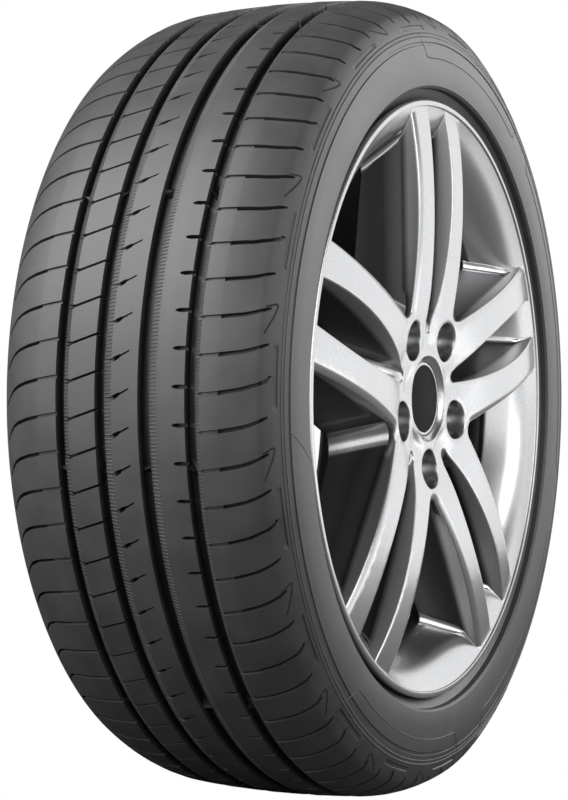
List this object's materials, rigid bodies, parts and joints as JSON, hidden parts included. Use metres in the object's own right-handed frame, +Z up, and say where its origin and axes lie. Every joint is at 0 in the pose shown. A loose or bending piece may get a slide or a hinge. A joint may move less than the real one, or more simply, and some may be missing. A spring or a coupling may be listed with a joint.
{
  "type": "car wheel with tyre",
  "caption": "Low-profile road tyre with a grooved tread, mounted on a cast alloy wheel with paired spokes, a centre cap and a valve, made to bolt to a car's hub.",
  "frame": {"origin": "centre of the wheel, on its axis and midway between the two sidewalls", "axes": "+Y along the axis towards the car, so the outboard face looks along -Y; +Z up through a pair of spokes; +X completes the frame"},
  "size_m": [0.6342, 0.225, 0.6342],
  "materials": {
    "tyre": "satin black rubber",
    "alloy": "silver paint under clear lacquer",
    "cap_silver": "silver paint",
    "cap_dark": "dark grey gloss",
    "spring_steel": "drawn wire",
    "valve_rubber": "matte black rubber",
    "valve_brass": "turned",
    "valve_cap_plastic": "black plastic"
  },
  "bodies": {
    "root": {"tyre": "tyre", "alloy_wheel": "alloy", "cap_body": "cap_silver", "cap_disc": "cap_dark", "cap_spring_ring": "spring_steel", "valve_rubber": "valve_rubber", "valve_stem": "valve_brass", "valve_core": "valve_brass", "valve_cap": "valve_cap_plastic"}
  },
  "joints": []
}
